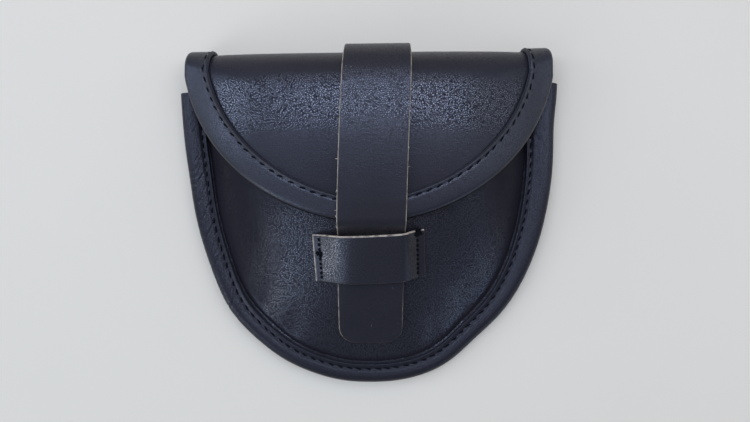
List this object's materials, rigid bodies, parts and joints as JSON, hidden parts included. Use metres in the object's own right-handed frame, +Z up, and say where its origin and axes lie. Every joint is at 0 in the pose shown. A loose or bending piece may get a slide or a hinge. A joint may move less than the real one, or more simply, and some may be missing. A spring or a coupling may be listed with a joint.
{
  "type": "belt bag",
  "caption": "Rounded D-shaped leather belt pouch with a bound flap, a folded seam binding, a closing strap that tucks under a sewn keeper and a belt loop at the back.",
  "frame": {"origin": "middle of the bag's outline in plan, on the surface that it lies on", "axes": "+X across the bag, +Y towards its top edge, where the flap rolls over, +Z up, out of its front"},
  "size_m": [0.1534, 0.1353, 0.0376],
  "materials": {
    "panel_leather": "grained, soft sheen",
    "binding_leather": "grained, stitched",
    "strap_leather": "smooth, with raw cut edges",
    "keeper_leather": "smooth, with raw cut edges"
  },
  "bodies": {
    "root": {"back_flap": "panel_leather", "front_panel": "panel_leather", "body_binding": "binding_leather", "flap_binding": "binding_leather", "strap": "strap_leather", "keeper": "keeper_leather"}
  },
  "joints": []
}
